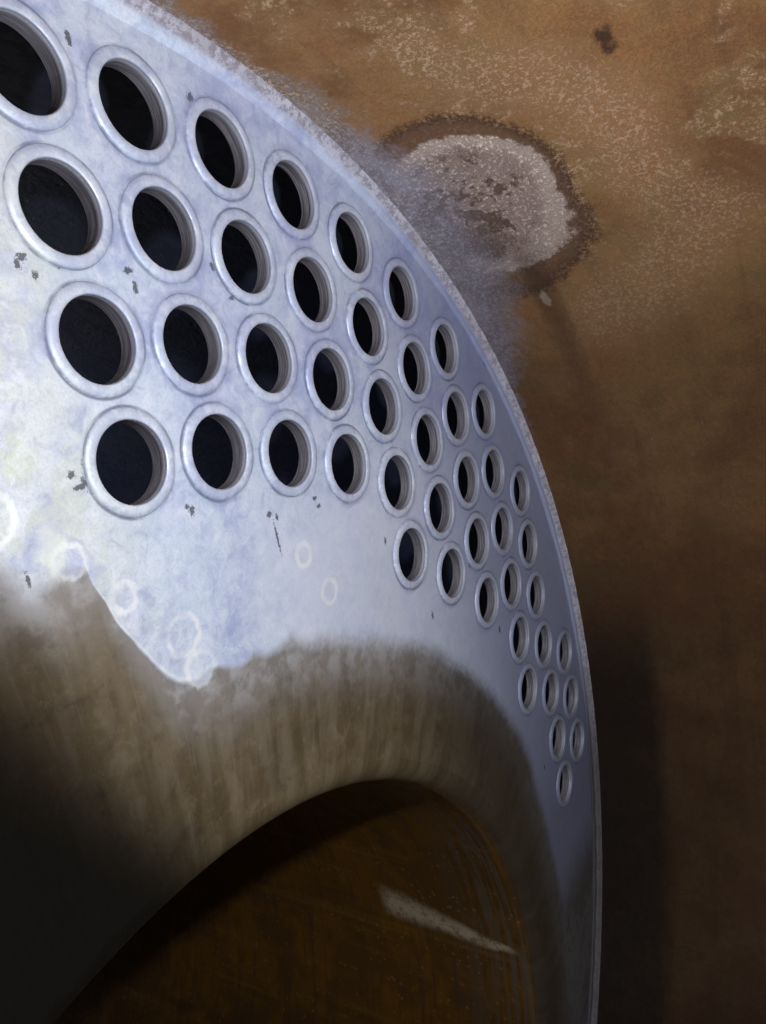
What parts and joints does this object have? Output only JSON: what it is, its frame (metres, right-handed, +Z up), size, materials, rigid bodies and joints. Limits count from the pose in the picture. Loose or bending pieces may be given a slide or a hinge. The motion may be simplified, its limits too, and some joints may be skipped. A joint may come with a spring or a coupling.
{
  "type": "horizontal shell and tube heat exchanger opened for retubing",
  "caption": "Horizontal shell and tube heat exchanger on two saddles, front channel open on its tubesheet and round flue.",
  "frame": {"origin": "on the ground, under the middle of the overall length and width", "axes": "+Y runs along the barrel from the open front channel to the gas inlet, +Z is up, +X is to the right when looking along +Y"},
  "size_m": [2.38, 5.932, 2.9419],
  "materials": {
    "ground_steel": "ground bare, with swirl marks and stains",
    "scaled_steel": "brown rust with pale scale",
    "flue_steel": "orange-brown oxide with streaks",
    "rusty_plate": "weathered brown oxide",
    "machined_steel": "machined, light rust"
  },
  "bodies": {
    "root": {"front_flange": "machined_steel", "front_channel": "scaled_steel", "front_tubesheet": "ground_steel", "front_seat_rings": "ground_steel", "front_sheet_weld": "ground_steel", "front_flue_collar": "flue_steel", "shell_course_front": "rusty_plate", "shell_course_middle": "rusty_plate", "shell_course_rear": "rusty_plate", "girth_seams": "rusty_plate", "flue_course_front": "flue_steel", "flue_course_middle": "flue_steel", "flue_course_rear": "flue_steel", "rear_tubesheet": "ground_steel", "rear_seat_rings": "ground_steel", "rear_sheet_weld": "ground_steel", "rear_channel": "rusty_plate", "rear_channel_flange": "machined_steel", "rear_cover": "rusty_plate", "rear_cover_ribs": "rusty_plate", "gas_inlet_flange": "machined_steel", "gas_outlet_nozzle": "rusty_plate", "gas_outlet_flange": "rusty_plate", "shell_inlet_nozzle": "rusty_plate", "shell_outlet_nozzle": "rusty_plate", "nozzle_pads": "rusty_plate", "manway_neck": "rusty_plate", "manway_cover": "rusty_plate", "relief_nozzle": "rusty_plate", "vent_nozzle": "rusty_plate", "drain_nozzle": "rusty_plate", "front_saddle_wrapper": "rusty_plate", "front_saddle_web": "rusty_plate", "front_saddle_base": "rusty_plate", "rear_saddle_wrapper": "rusty_plate", "rear_saddle_web": "rusty_plate", "rear_saddle_base": "rusty_plate", "lifting_lugs": "rusty_plate"}
  },
  "joints": []
}
